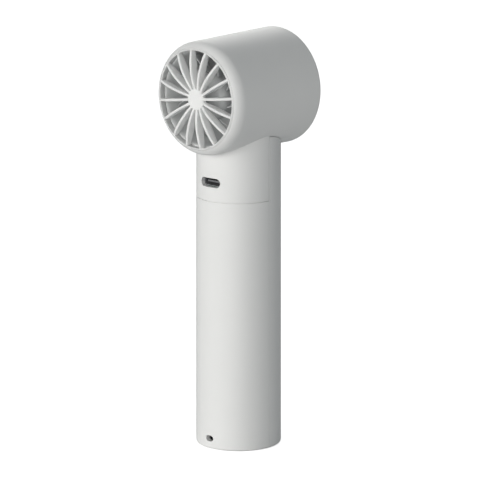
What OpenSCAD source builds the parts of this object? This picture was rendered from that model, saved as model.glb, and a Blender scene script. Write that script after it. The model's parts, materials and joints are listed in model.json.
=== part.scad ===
// Handheld electric fan: a round handle that stands on its base, with a
// horizontal barrel across its top. The barrel holds a ducted impeller on a
// small outer-rotor motor, behind a front grille and a rear grille.
// Z is up, the origin is the middle of the base, and the grille faces -Y.
// The handle's axis is Z. The barrel's axis is parallel to Y, at axis_h.

/* [Handle] */
// Radius of the handle where it meets the barrel
handle_top_r = 15.85; // [13.2:0.05:20]
// How much wider the handle's radius is at its base
handle_flare = 0.25; // [0:0.05:1]
// Thickness of the handle's shells
wall = 1.8; // [1.4:0.1:2.2]
// Thickness of the base floor
floor_t = 2; // [1.5:0.1:3]
// Radius of the rounded edge of the base
foot_round = 1.1; // [0.5:0.1:1.6]
// Gap in the upright seams between the front and the rear shells
seam_gap = 0.1; // [0.06:0.01:0.3]
// Gap between the front cover and the neck
split_gap = 0.2; // [0.1:0.05:0.4]
// Gap between the rear shell and the barrel
joint_gap = 0.35; // [0.2:0.05:0.5]
// Room inside the front cover above the battery cell, for screws and wires
cell_room = 20.35; // [18:0.05:30]
// Length of the neck, from the front cover to the underside of the barrel
neck_len = 18; // [15:0.5:30]

/* [Barrel] */
// Outer radius of the barrel at its front
barrel_front_r = 21.4; // [18:0.1:26]
// How much wider the barrel's radius is at its rear
barrel_flare = 0.7; // [0:0.1:2]
// Thickness of the barrel at its front
barrel_wall = 1.8; // [1.4:0.1:2.2]
// How far the barrel reaches in front of the handle's axis
nose_len = 24; // [20:0.5:29]
// How far the barrel reaches behind the handle's axis
tail_len = 22; // [19:0.5:30]
// Radius of the barrel's rounded front edge
nose_round = 5.4; // [4:0.1:6]
// Radius of the barrel's rounded rear edge
tail_round = 1.2; // [0.6:0.1:1.6]

/* [Front grille] */
// Width of the barrel's lip in front of the grille's flange
lip_w = 0.55; // [0.4:0.05:0.8]
// Thickness of the grille's ring
ring_t = 0.7; // [0.6:0.1:1.2]
// Number of ribs
rib_n = 16; // [8:1:24]
// Thickness of each rib
rib_t = 1; // [0.7:0.1:1.4]
// Angle of the first rib above the horizontal
rib_phase = 7.5; // [0:0.5:22]
// Radius of the round plate in the middle
grille_hub_r = 4; // [3:0.1:6]
// How far the ribs arch forward between the plate and the ring
rib_arch = 1.2; // [0.4:0.1:1.6]
// Length of the grille's ring
grille_len = 2.7; // [2.4:0.1:4]

/* [Rear grille] */
// Number of ribs
rear_rib_n = 24; // [12:1:30]
// Radius of the round plate in the middle
rear_hub_r = 7; // [5:0.5:9]
// How far the rear grille sits inside the barrel's end
rear_recess = 0.6; // [0.3:0.1:1.2]

/* [Impeller and motor] */
// Number of impeller blades
blade_n = 9; // [5:1:11]
// Thickness of the air duct
duct_wall = 1.9; // [1.5:0.1:2.4]
// Clearance between the blade tips and the duct
tip_gap = 0.6; // [0.4:0.1:1]
// Radius of the impeller's hub
hub_r = 8.6; // [8.2:0.1:10.4]
// Angle of the first blade above the horizontal
blade_phase = 10; // [0:1:40]
// Thickness of each blade
blade_t = 0.9; // [0.7:0.1:1.2]
// Length of the impeller's blades along the axis
blade_len = 9; // [7:0.5:11]
// Radius of the motor's shaft
shaft_r = 1; // [0.8:0.05:1.2]
// Running clearance between the shaft and its bearings
shaft_fit = 0.03; // [0.02:0.01:0.08]
// Number of guide vanes behind the impeller
vane_n = 7; // [5:2:9]

/* [Socket and lanyard hole] */
// Height of the charging socket's centre above the neck's lower edge
socket_up = 7; // [6.6:0.1:8]
// Width of the charging socket's opening in the shell
socket_w = 9.5; // [9.3:0.1:10]
// Height of the charging socket's opening in the shell
socket_h = 3.5; // [3.5:0.1:4]
// Height of the lanyard hole's centre
lanyard_z = 4.1; // [4:0.1:8]
// Width of the lanyard hole
lanyard_w = 3.6; // [2.6:0.1:5]
// Height of the lanyard hole
lanyard_h = 2.2; // [1.6:0.1:2.6]
// Radius of the cord hole in the floor
lanyard_r = 1.4; // [1:0.1:1.8]

/* [Button] */
// Radius of the power button
button_r = 4.5; // [3.5:0.1:5]
// How far the button travels
button_travel = 0.35; // [0.2:0.05:0.5]
// Clearance round the button
button_gap = 0.2; // [0.15:0.05:0.3]

/* [Battery] */
// Radius of the battery cell
cell_r = 9.2; // [7.5:0.05:11]
// Length of the battery cell
cell_len = 65; // [50:1:80]

/* [Hidden] */

$fn = 96;
eps = 0.01;               // overlap that joins stacked shapes
over = 1;                 // how far a cut runs past a face
big = 200;
small_fn = 48;

// Fits and clearances
slip = 0.1;              // pieces stacked inside the barrel, in its bore
press = 0.05;            // grille ring in the barrel's mouth
part_gap = 0.1;          // between stacked pieces, along the axis
touch = 0.02;            // between pieces that touch

// Handle, from the base up: seat, cell, front cover, neck, barrel
inner_r = handle_top_r - wall;
handle_base_r = handle_top_r + handle_flare;
cell_z = 10;
cover_h = cell_z + cell_len + cell_room;
neck_z = cover_h + split_gap;
axis_h = neck_z + neck_len + barrel_front_r;

// Barrel, along its own axis, with y measured from the handle's axis
barrel_rear_r = barrel_front_r + barrel_flare;
bore_r = barrel_front_r - barrel_wall;
mouth_r = bore_r - lip_w;
ring_r = mouth_r - press;
outlet_r = ring_r - ring_t;
round_centre_r = barrel_front_r - nose_round;
mouth_depth = nose_round - sqrt(nose_round ^ 2 - (mouth_r - round_centre_r) ^ 2);
lip_proud = 0.3;
grille_flange_t = 0.8;
grille_y = -nose_len + mouth_depth - lip_proud;
flange_y = grille_y + grille_len - grille_flange_t;
duct_y0 = grille_y + grille_len + part_gap;
liner_r = bore_r - slip;
duct_r = liner_r - duct_wall;
rear_y1 = tail_len - rear_recess;
rear_len = 2.4;
rib_depth_hub = 1.3;
rib_depth_mid = 0.7;
rib_depth_ring = 2.1;
rib_root = 0.5;
rib_sink = 0.3;
plate_t = rib_depth_hub + 0.2;
mount_y1 = rear_y1 - rear_len - part_gap;

// Rear grille: straight ribs between the plate, a middle ring and the outer ring
rear_rib_w = 1;
rear_rib_t = 1.6;
rear_ring_t = 1.2;
rear_mid_w = 1.2;
rear_mid_t = 1.8;
rear_plate_t = 2;

// Impeller and motor, along the same axis
tip_r = duct_r - tip_gap;
hub_y0 = duct_y0 + 3.5;
blade_y0 = hub_y0 + 1.2;
blade_y1 = blade_y0 + blade_len;
hub_y1 = blade_y1 + 3.4;
mount_y0 = hub_y1 + 1.4;
hub_wall = 0.8;
hub_round = 3;
blade_pitch = 42;
blade_bend_r = 11;
cup_r = hub_r - hub_wall;
cup_wall = 0.5;
cup_boss_r = shaft_r + 1.2;
cup_boss_len = 1.5;
cup_y0 = hub_y0 + 1.3;
cup_y1 = hub_y1 - 1.4;
magnet_r = cup_r - cup_wall;
magnet_t = 0.9;
air_gap = 0.3;
core_r = magnet_r - magnet_t - air_gap;
core_y0 = cup_y0 + 2.6;
core_len = 4;
magnet_over = 0.8;        // magnet beyond each end of the core
slot_n = 9;
tooth_t = 0.9;
tooth_tip_t = 0.6;
tooth_half_angle = 16;
core_ring_t = 0.9;
bearing_r = shaft_r + 1.5;
bearing_len = 2;
bearing_inset = 0.2;
tube_wall = 0.7;
tube_r = bearing_r + tube_wall;
tube_y0 = core_y0 - 0.4;
tube_y1 = mount_y0 + 2.6;
clip_t = 0.3;
clip_w = 0.5;
clip_gap = 0.2;
shaft_y1 = tube_y1 + 1.2;
winding_t = 0.3;          // copper on each side of a tooth
winding_over = 0.9;       // copper beyond each end of the core
motor_board_y = cup_y1 - 1.6;
motor_board_t = 0.8;
motor_board_r = core_r - 0.1;

// Motor mount: pod with a domed rear end, a floor across it, and curved vanes
pod_wall = 1.2;
pod_y1 = mount_y0 + 11;
dome_h = 3.2;
dome_r = (hub_r ^ 2 + dome_h ^ 2) / (2 * dome_h);
pod_floor_y = mount_y0 + 0.8;
pod_floor_t = 1.6;
tube_cap = 2;             // bearing tube beyond the rear bearing
tube_well = 1.4;          // room for the shaft's end and the clip
vane_inset = 0.6;
vane_len = 8;
vane_t = 1;
vane_pitch = -26;
vane_bend_r = 14;
lead_r = 0.5;
lead_step = 1.25;
coil_l = core_r - tube_r - core_ring_t - part_gap - tooth_tip_t - part_gap;
channel_w = 4.4;
channel_l = 1.8;
channel_wall = 0.8;

// Cord hole through the floor
lanyard_in = 1;           // between the hole and the inside of the wall

// Control board and what it carries, and the button behind it
socket_z = neck_z + socket_up;
board_t = 1.2;
socket_shell_w = 8.94;
socket_shell_h = 3.2;
socket_shell_l = 7.3;
socket_shell_t = 0.3;
socket_back_t = 1;
tongue_w = 6.6;
tongue_h = 0.7;
tongue_gap = 0.8;         // between the socket's mouth and its tongue
board_z = socket_z - socket_shell_h / 2;
board_gap = 0.6;          // between the board's edge and the shells
board_r = inner_r - board_gap;
board_screw_r = 0.9;
board_screw_len = 5.5;
board_head_r = 1.7;
board_head_t = 1;
socket_y0 = -inner_r + 0.15;
board_front_y = socket_y0 + 1;
post_at = inner_r - board_head_r - 0.25;
post_angle = 36;
post_r = 2.2;
post_h = 8;
post_floor = 1;
switch_w = 6;
switch_h = 3.5;
switch_l = 3.5;
plunger_r = 0.9;
plunger_len = 1.5;
plunger_fit = 0.1;
button_z = board_z + switch_h / 2;
flange_t = 0.9;
button_flange_r = button_r + 0.8;
button_flange_y = sqrt(inner_r ^ 2 - button_flange_r ^ 2) - 0.15;
stem_r = 1.6;
stem_len = 0.9;
stem_y = button_flange_y - flange_t - stem_len;
plunger_y = stem_y - touch - plunger_len;
switch_y0 = plunger_y - touch - switch_l;
board_rear_y = button_flange_y - flange_t - button_travel - 0.3;
button_proud = 0.5;
lamp_w = 1.6;
lamp_l = 1.2;
lamp_t = 0.6;
lamp_gap = 0.1;           // between the lamp and its light guide
lamp_y = board_rear_y - 1.2;
guide_r = 1;
guide_drop = 6.4;
guide_z = board_z - board_t - guide_drop;
lead_y = switch_y0 - 1.6;
lead_up = 5.4;
drop_y = mount_y0 + 5;
lead_bend_z = axis_h - barrel_rear_r - 3;

// Battery and the ribs that hold it
rib_gap = 0.15;
seat_t = 1.6;
seat_half_w = 8.5;
seat_inset = 12;          // from each end of the cell to a pair of ribs
seat_step = 2;            // between the rear rib and the front rib of a pair
seat_lip = 2.6;           // how far the lowest rib reaches under the cell
seat_zs = [cell_z + seat_inset, cell_z + cell_len - seat_inset];
cap_r = 3;
cap_h = 0.6;
tab_t = 0.2;
tab_w = 6;
tab_l = 5;
pad_w = 8;
pad_l = 24;
pad_z = cell_z + 20;
pad_gap = 0.05;
battery_lead_r = 0.6;
lead_x = cell_r + 1.5;
lead_tab_x = 2;
lead_jog_up = 4;
lead_jog_in = 3;

// Screws between the head shell's lug and the rear shell
thread_gap = 0.02;        // between a screw and the hole that it cut its thread in
boss_x = 5.4;
boss_r = 2.3;
boss_z = neck_z - 7.4;
screw_r = 1;
screw_clear = 0.15;
screw_head_r = 1.9;
screw_head_t = 1.3;
screw_len = 8;
head_gap = 0.4;
lug_y = screw_head_t - sqrt((inner_r - head_gap) ^ 2 - (boss_x + screw_head_r) ^ 2);
lug_t = 1.8;
lug_w = 17.4;
lug_drop = 11;
lug_gap = 0.2;            // between the lug and the front cover
shelf_t = 1.5;
boss_len = sqrt(handle_top_r ^ 2 - (boss_x + boss_r) ^ 2) - part_gap - lug_y - lug_t;

// ---- helpers ----

// Turns a shape made along +Z so that it lies along +Y on the barrel's axis.
module on_axis(y) translate([0, y, axis_h]) rotate([-90, 0, 0]) children();

// A plain tube on the barrel's axis, from y0 to y1.
module axis_tube(r_out, r_in, y0, y1) on_axis(y0) difference() {
    cylinder(r = r_out, h = y1 - y0);
    translate([0, 0, -over]) cylinder(r = r_in, h = y1 - y0 + 2 * over);
}

module axis_rod(r, y0, y1) on_axis(y0) cylinder(r = r, h = y1 - y0);

// A round bar along +Y from the point [x, y, z].
module bar_y(r, h, x, y, z, fn = small_fn) translate([x, y, z]) rotate([-90, 0, 0])
    cylinder(r = r, h = h, $fn = fn);

// Copies a shape round the barrel's axis.
module round_axis(n, phase) for (i = [0 : n - 1])
    translate([0, 0, axis_h]) rotate([0, -phase - i * 360 / n, 0]) children();

// The handle's outside, a slight cone with a rounded foot.
module handle_form() rotate_extrude() difference() {
    polygon([[0, 0], [handle_base_r, 0], [handle_top_r, axis_h], [0, axis_h]]);
    translate([handle_base_r - foot_round, 0]) difference() {
        square([foot_round + over, foot_round]);
        translate([0, foot_round]) circle(r = foot_round);
    }
}

// The handle's hollow, above the floor.
module handle_hollow() translate([0, 0, floor_t])
    cylinder(r = inner_r, h = axis_h - floor_t);

// The front half of space, or the rear half, clear of the seam.
module front_half() translate([-big / 2, -big - seam_gap / 2, -over]) cube([big, big, big]);
module rear_half() translate([-big / 2, seam_gap / 2, -over]) cube([big, big, big]);

// The barrel's outside: a slight cone, well rounded in front, less at the rear.
module barrel_form(grow = 0) {
    front_r = barrel_front_r + grow;
    rear_r = barrel_rear_r + grow;
    on_axis(-nose_len) rotate_extrude() union() {
        polygon([
            [0, 0], [front_r - nose_round, 0], [front_r, nose_round],
            [rear_r, nose_len + tail_len - tail_round],
            [rear_r - tail_round, nose_len + tail_len], [0, nose_len + tail_len]
        ]);
        intersection() {
            translate([front_r - nose_round, nose_round]) circle(r = nose_round);
            translate([front_r - nose_round, 0]) square([nose_round, nose_round]);
        }
        intersection() {
            translate([rear_r - tail_round, nose_len + tail_len - tail_round])
                circle(r = tail_round);
            translate([rear_r - tail_round, nose_len + tail_len - tail_round])
                square([tail_round, tail_round]);
        }
    }
}

// A stadium-shaped prism along Y, for the socket and its opening.
module stadium_y(w, h, y0, y1, z) translate([0, y0, z]) rotate([-90, 0, 0])
    linear_extrude(y1 - y0) {
        square([w - h, h], center = true);
        for (s = [-1, 1]) translate([s * (w - h) / 2, 0]) circle(d = h, $fn = small_fn);
    }

// A wire along a list of points, round at its bends.
module wire(points, r) {
    for (i = [0 : len(points) - 2]) {
        step = points[i + 1] - points[i];
        flat = norm([step[0], step[1]]);
        translate(points[i])
            rotate([0, atan2(flat, step[2]), atan2(step[1], step[0])])
                cylinder(r = r, h = norm(step), $fn = 24);
    }
    for (i = [1 : 1 : len(points) - 2]) translate(points[i]) sphere(r = r, $fn = 24);
}

// A bent strip in the plane of a blade's section: chord len, bend radius, thickness.
module bent_strip(chord, bend_r, t) {
    half = asin(chord / 2 / bend_r);
    translate([-bend_r * cos(half), 0]) intersection() {
        difference() {
            circle(r = bend_r + t / 2);
            circle(r = bend_r - t / 2);
        }
        polygon([
            [0, 0], [2 * bend_r * cos(half), -2 * bend_r * sin(half)],
            [2 * bend_r, 0], [2 * bend_r * cos(half), 2 * bend_r * sin(half)]
        ]);
    }
}

// ---- shells ----

// Barrel and the front half of the neck, with the lug that the screws hold.
module head_shell() color("gainsboro") difference() {
    union() {
        barrel_form();
        intersection() {
            difference() {
                handle_form();
                handle_hollow();
            }
            front_half();
            translate([0, 0, neck_z]) cylinder(r = big, h = axis_h - neck_z);
        }
        lug();
    }
    axis_rod(mouth_r, -nose_len - over, tail_len + over);
    axis_rod(bore_r, flange_y, tail_len + over);
    stadium_y(socket_w, socket_h, -handle_base_r - over, 0, socket_z);
    lead_hole();
    for (x = [-boss_x, boss_x])
        bar_y(screw_r + screw_clear, lug_t + 2 * over, x, lug_y - over, boss_z);
}

// A plate behind the front cover's top edge, joined to the neck by a shelf.
module lug() intersection() {
    union() {
        translate([-lug_w / 2, lug_y, neck_z - lug_drop])
            cube([lug_w, lug_t, lug_drop + shelf_t]);
        translate([-lug_w / 2, -inner_r - wall / 2, neck_z])
            cube([lug_w, lug_y + lug_t + inner_r + wall / 2, shelf_t]);
    }
    translate([0, 0, neck_z - lug_drop]) {
        cylinder(r = inner_r - lug_gap, h = lug_drop + eps);
        translate([0, 0, lug_drop]) cylinder(r = inner_r + wall / 2, h = shelf_t);
    }
}

// The hole in the barrel's wall through which the motor leads enter the neck.
module lead_hole() translate([0, drop_y, axis_h - barrel_rear_r - over])
    linear_extrude(barrel_rear_r)
        square([channel_w, channel_l], center = true);

// The rear half of the handle, up to the barrel.
module rear_shell() color("whitesmoke") difference() {
    union() {
        intersection() {
            difference() {
                handle_form();
                handle_hollow();
            }
            rear_half();
        }
        for (z = seat_zs) cell_rib(z, cell_r + rib_gap, 1);
        cell_rib(cell_z - seat_t, cell_r - seat_lip, 1);
        at_posts(-board_t - post_h) cylinder(r = post_r, h = post_h, $fn = small_fn);
        for (x = [-boss_x, boss_x]) bar_y(boss_r, boss_len, x, lug_y + lug_t, boss_z);
    }
    barrel_form(joint_gap);
    at_posts(-board_t - post_h + post_floor)
        cylinder(r = board_screw_r, h = post_h, $fn = small_fn);
    for (x = [-boss_x, boss_x]) bar_y(screw_r, screw_len, x, lug_y + lug_t - over, boss_z);
    bar_y(button_r + button_gap, big, 0, 0, button_z, $fn);
    bar_y(guide_r + press, big, 0, lamp_y, guide_z);
}

// Puts a shape on each of the board's two posts, at a height above the board's top.
module at_posts(z) for (angle = [post_angle, 180 - post_angle])
    translate([post_at * cos(angle), post_at * sin(angle), board_z + z]) children();

// A rib across one half of the handle, with a round seat for the cell.
module cell_rib(z, seat_r, side) intersection() {
    translate([0, 0, z]) difference() {
        cylinder(r = inner_r + wall / 2, h = seat_t);
        translate([0, 0, -over]) cylinder(r = seat_r, h = seat_t + 2 * over);
    }
    translate([-seat_half_w, side > 0 ? seam_gap / 2 + over : -big - seam_gap / 2 - over, 0])
        cube([2 * seat_half_w, big, big]);
}

// The front half of the handle below the neck.
module front_cover() color("whitesmoke") difference() {
    union() {
        intersection() {
            difference() {
                handle_form();
                handle_hollow();
            }
            front_half();
            cylinder(r = big, h = cover_h);
        }
        for (z = seat_zs) cell_rib(z + seat_t + seat_step, cell_r + rib_gap, -1);
    }
    stadium_y(lanyard_w, lanyard_h, -handle_base_r - over, -inner_r + over, lanyard_z);
    translate([0, -inner_r + lanyard_r + lanyard_in, -over])
        cylinder(r = lanyard_r, h = floor_t + 2 * over, $fn = small_fn);
}

// ---- grilles and duct ----

// Ring, arched ribs and middle plate, with a flange behind the barrel's mouth.
module front_grille() color("white") {
    axis_tube(ring_r, outlet_r, grille_y, grille_y + grille_len);
    axis_tube(liner_r, outlet_r, flange_y + part_gap, grille_y + grille_len);
    axis_rod(grille_hub_r, grille_y, grille_y + plate_t);
    round_axis(rib_n, rib_phase) grille_rib();
}

// One rib: its front edge is an arc that bulges forward, and its rear edge
// runs back from the middle plate to the ring and bulges the other way.
module grille_rib() {
    span = outlet_r + rib_sink - grille_hub_r + rib_root;
    arc_r = span ^ 2 / (8 * rib_arch) + rib_arch / 2;
    back_run = norm([span, rib_depth_ring - rib_depth_hub]);
    back_r = back_run ^ 2 / (8 * rib_depth_mid) + rib_depth_mid / 2;
    back_tilt = atan2(rib_depth_ring - rib_depth_hub, span);
    translate([grille_hub_r - rib_root, grille_y, -rib_t / 2]) linear_extrude(rib_t) {
        polygon([
            [0, 0], [span, 0], [span, rib_depth_ring], [0, rib_depth_hub]
        ]);
        intersection() {
            translate([span / 2, arc_r - rib_arch]) circle(r = arc_r, $fn = 2 * $fn);
            translate([0, -rib_arch - over]) square([span, rib_arch + over]);
        }
        translate([0, rib_depth_hub]) rotate(back_tilt) intersection() {
            translate([back_run / 2, rib_depth_mid - back_r]) circle(r = back_r, $fn = 2 * $fn);
            square([back_run, rib_depth_mid + over]);
        }
    }
}

// Cap in the barrel's rear end, with straight ribs and one middle ring.
module rear_grille() color("whitesmoke") {
    rib_r = liner_r - rear_ring_t;
    mid_r = (rib_r + rear_hub_r - rear_mid_w) / 2;
    axis_tube(liner_r, rib_r, rear_y1 - rear_len, rear_y1);
    axis_tube(mid_r + rear_mid_w, mid_r, rear_y1 - rear_mid_t, rear_y1);
    axis_rod(rear_hub_r, rear_y1 - rear_plate_t, rear_y1);
    round_axis(rear_rib_n, 0) translate([rear_hub_r - rib_root, rear_y1 - rear_rib_t, -rear_rib_w / 2])
        cube([rib_r - rear_hub_r + 2 * rib_root, rear_rib_t, rear_rib_w]);
}

// Tube round the impeller.
module air_duct() color("lightgray")
    axis_tube(liner_r, duct_r, duct_y0, mount_y0 - part_gap);

// Ring, guide vanes, motor pod and bearing tube, in one moulding.
module motor_mount() color("gainsboro") difference() {
    union() {
        axis_tube(liner_r, duct_r, mount_y0, mount_y1);
        axis_tube(hub_r, hub_r - pod_wall, mount_y0, pod_y1);
        axis_rod(hub_r - pod_wall / 2, pod_floor_y, pod_floor_y + pod_floor_t);
        on_axis(pod_y1 - over) intersection() {
            cylinder(r = hub_r, h = dome_h);
            translate([0, 0, dome_h - dome_r]) sphere(r = dome_r);
        }
        axis_rod(tube_r, tube_y0, tube_y1 + tube_cap);
        round_axis(vane_n, 90) guide_vane();
        lead_vane();
    }
    axis_rod(bearing_r, tube_y0 - over, tube_y1);
    axis_rod(tube_r - 2 * tube_wall, tube_y1 - over, tube_y1 + tube_well);
    translate([-channel_w / 2, drop_y - channel_l / 2, axis_h - liner_r - over])
        cube([channel_w, channel_l, liner_r + over - lead_up + channel_l / 2]);
    translate([-channel_w / 2, mount_y0 - over, axis_h - lead_up - channel_l / 2])
        cube([channel_w, drop_y + channel_l / 2 - mount_y0 + over, channel_l]);
}

// One curved vane from the pod to the ring.
module guide_vane() translate([hub_r - vane_inset, mount_y0 + vane_len / 2 + vane_inset, 0])
    rotate([0, 90, 0]) linear_extrude(duct_r - hub_r + 2 * vane_inset)
        rotate(vane_pitch) bent_strip(vane_len, vane_bend_r, vane_t);

// The walls of the hollow vane that the motor leads run down.
module lead_vane() translate([
    -channel_w / 2 - channel_wall, drop_y - channel_l / 2 - channel_wall,
    axis_h - duct_r - channel_wall / 2
]) cube([channel_w + 2 * channel_wall, channel_l + 2 * channel_wall,
    duct_r - hub_r + channel_wall]);

// ---- impeller and rotor ----

// Round-nosed hub, hollow behind for the rotor, with the blades round it.
module impeller() color("white") {
    hub_l = hub_y1 - hub_y0;
    on_axis(hub_y0) rotate_extrude() difference() {
        union() {
            square([hub_r - hub_round, hub_l]);
            translate([0, hub_round]) square([hub_r, hub_l - hub_round]);
            intersection() {
                translate([hub_r - hub_round, hub_round]) circle(r = hub_round);
                square([hub_r, hub_round]);
            }
        }
        translate([0, cup_y0 - hub_y0]) square([cup_r, hub_l]);
    }
    round_axis(blade_n, blade_phase) impeller_blade();
}

// One blade, trimmed to the hub's round wall and to the duct less the tip clearance.
module impeller_blade() intersection() {
    translate([hub_r / 2, (blade_y0 + blade_y1) / 2, 0]) rotate([0, 90, 0])
        linear_extrude(tip_r) rotate(blade_pitch)
            bent_strip(blade_len / cos(blade_pitch), blade_bend_r, blade_t);
    translate([0, blade_y0, 0]) rotate([-90, 0, 0]) difference() {
        cylinder(r = tip_r, h = blade_len);
        translate([0, 0, -over]) cylinder(r = hub_r - hub_wall / 2, h = blade_len + 2 * over);
    }
}

module rotor_cup() color("silver") {
    axis_tube(cup_r, magnet_r, cup_y0, cup_y1);
    axis_tube(cup_r, shaft_r, cup_y0, cup_y0 + cup_wall);
    axis_tube(cup_boss_r, shaft_r, cup_y0, cup_y0 + cup_boss_len);
}

module rotor_magnet() color("dimgray")
    axis_tube(magnet_r, magnet_r - magnet_t, core_y0 - magnet_over, core_y0 + core_len + magnet_over);

module motor_shaft() color("silver")
    axis_rod(shaft_r, cup_y0, shaft_y1);

module shaft_clip() color("silver")
    axis_tube(shaft_r + clip_w, shaft_r, tube_y1 + clip_gap, tube_y1 + clip_gap + clip_t);

module bearing(y0) axis_tube(bearing_r, shaft_r + shaft_fit, y0, y0 + bearing_len);

module front_bearing() color("silver") bearing(tube_y0 + bearing_inset);

module rear_bearing() color("silver") bearing(tube_y1 - bearing_len);

// Laminated core: a ring with T-shaped teeth.
module motor_core() color("slategray") {
    on_axis(core_y0) linear_extrude(core_len) {
        difference() {
            circle(r = tube_r + core_ring_t);
            circle(r = tube_r + touch);
        }
        for (i = [0 : slot_n - 1]) rotate(i * 360 / slot_n) {
            translate([tube_r + core_ring_t / 2, -tooth_t / 2])
                square([core_r - tube_r - core_ring_t / 2 - tooth_tip_t / 2, tooth_t]);
            intersection() {
                difference() {
                    circle(r = core_r);
                    circle(r = core_r - tooth_tip_t);
                }
                polygon([[0, 0], 2 * core_r * [1, -tan(tooth_half_angle)],
                    2 * core_r * [1, tan(tooth_half_angle)]]);
            }
        }
    }
}

// Copper on the teeth, one coil on each.
module motor_windings() color("peru")
    for (i = [0 : slot_n - 1]) on_axis(core_y0) rotate(i * 360 / slot_n)
        translate([tube_r + core_ring_t + part_gap, 0, 0]) difference() {
            translate([0, -tooth_t / 2 - winding_t, -winding_over])
                cube([coil_l, tooth_t + 2 * winding_t, core_len + 2 * winding_over]);
            translate([-over, -tooth_t / 2, 0])
                cube([coil_l + 2 * over, tooth_t, core_len]);
        }

module motor_board() color("seagreen")
    axis_tube(motor_board_r, tube_r + part_gap, motor_board_y, motor_board_y + motor_board_t);

// Three leads from the motor's board, through the pod and one hollow vane,
// down to the control board.
module motor_leads() color("firebrick") for (i = [-1, 0, 1]) {
    start_y = motor_board_y + motor_board_t;
    wire([
        [i * lead_step, start_y, axis_h - lead_up],
        [i * lead_step, drop_y, axis_h - lead_up],
        [i * lead_step, drop_y, lead_bend_z],
        [i * lead_step, lead_y, lead_bend_z],
        [i * lead_step, lead_y, board_z]
    ], lead_r);
}

// ---- electronics in the neck ----

module control_board() color("seagreen") difference() {
    translate([0, 0, board_z - board_t]) intersection() {
        cylinder(r = board_r, h = board_t);
        translate([-board_r, board_front_y, 0])
            cube([2 * board_r, board_rear_y - board_front_y, board_t]);
    }
    at_posts(-board_t - over)
        cylinder(r = board_screw_r + part_gap, h = board_t + 2 * over, $fn = small_fn);
}

// Charger and driver chips, a coil and a few capacitors.
module board_chips() color("dimgray") {
    chips = [[-8, -2, 4, 4, 1], [7.6, -2.4, 3, 3, 1.6], [-3.4, -1.6, 2, 1.2, 0.8],
        [3.6, -2.6, 1.6, 0.8, 0.8], [0.4, lead_y - 3, 1.6, 0.8, 0.8], [-8.6, 2.6, 2, 1.2, 0.6],
        [7.4, 2.2, 3, 2.4, 0.9]];
    for (c = chips) translate([c[0] - c[2] / 2, c[1] - c[3] / 2, board_z])
        cube([c[2], c[3], c[4]]);
}

module usb_socket() color("silver") {
    y1 = socket_y0 + socket_shell_l;
    inner_w = socket_shell_w - 2 * socket_shell_t;
    inner_h = socket_shell_h - 2 * socket_shell_t;
    difference() {
        stadium_y(socket_shell_w, socket_shell_h, socket_y0, y1, socket_z);
        stadium_y(inner_w, inner_h, socket_y0 - over, y1 - socket_back_t, socket_z);
    }
}

module usb_tongue() color("dimgray")
    translate([-tongue_w / 2, socket_y0 + tongue_gap, socket_z - tongue_h / 2])
        cube([tongue_w, socket_shell_l - socket_back_t - tongue_gap, tongue_h]);

// Push switch, with a well that its plunger goes down.
module switch_body() color("dimgray") difference() {
    translate([-switch_w / 2, switch_y0, board_z]) cube([switch_w, switch_l, switch_h]);
    bar_y(plunger_r + plunger_fit, big, 0, plunger_y - button_travel - touch, button_z);
}

module switch_plunger() color("black")
    bar_y(plunger_r, plunger_len, 0, plunger_y, button_z);

// Round button with a flange behind the rear wall and a stem to the switch.
module power_button() color("lightgray") {
    bar_y(stem_r, button_flange_y - stem_y, 0, stem_y, button_z);
    bar_y(button_flange_r, flange_t, 0, button_flange_y - flange_t, button_z, $fn);
    intersection() {
        bar_y(button_r, handle_top_r, 0, button_flange_y - flange_t, button_z, $fn);
        cylinder(r = handle_top_r + button_proud, h = axis_h);
    }
}

module indicator_lamp() color("honeydew")
    translate([-lamp_w / 2, lamp_y - lamp_l / 2, board_z - board_t - lamp_t])
        cube([lamp_w, lamp_l, lamp_t]);

// Clear rod that turns the lamp's light out through the rear wall.
module light_guide() color("azure") {
    translate([0, lamp_y, guide_z]) {
        cylinder(r = guide_r, h = guide_drop - lamp_t - lamp_gap, $fn = small_fn);
        sphere(r = guide_r, $fn = small_fn);
    }
    bar_y(guide_r, handle_top_r - lamp_y, 0, lamp_y, guide_z);
}

// ---- battery ----

module battery_cell() color("steelblue") {
    translate([0, 0, cell_z]) cylinder(r = cell_r, h = cell_len);
    translate([0, 0, cell_z + cell_len - eps])
        cylinder(r = cap_r, h = cap_h + eps, $fn = small_fn);
}

module battery_tabs() color("silver") {
    for (z = [cell_z - tab_t, cell_z + cell_len + cap_h])
        translate([-tab_w / 2, -tab_l / 2, z]) cube([tab_w, tab_l, tab_t]);
}

module battery_pad() color("gray") {
    room = sqrt(inner_r ^ 2 - (pad_w / 2) ^ 2);
    translate([-pad_w / 2, -room + pad_gap, pad_z])
        cube([pad_w, room - cell_r - 2 * pad_gap, pad_l]);
}

module battery_leads() color("firebrick") {
    board_under = board_z - board_t;
    tab_top = cell_z + cell_len + cap_h + tab_t;
    low_z = cell_z - tab_t - battery_lead_r;
    jog_z = board_under - lead_jog_up;
    jog_x = lead_x - lead_jog_in;
    wire([[-lead_tab_x, 0, tab_top], [-lead_tab_x, 0, board_under]], battery_lead_r);
    wire([
        [lead_tab_x, 0, low_z], [lead_x, 0, low_z], [lead_x, 0, jog_z],
        [jog_x, 0, jog_z], [jog_x, 0, board_under]
    ], battery_lead_r);
}

// ---- screws ----

module board_screws() color("silver") {
    at_posts(0) cylinder(r = board_head_r, h = board_head_t, $fn = small_fn);
    at_posts(-board_screw_len)
        cylinder(r = board_screw_r - thread_gap, h = board_screw_len + eps, $fn = small_fn);
}

module neck_screws() color("silver") for (x = [-boss_x, boss_x]) {
    bar_y(screw_head_r, screw_head_t, x, lug_y - screw_head_t, boss_z);
    bar_y(screw_r - thread_gap, screw_len, x, lug_y - eps, boss_z);
}

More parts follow.
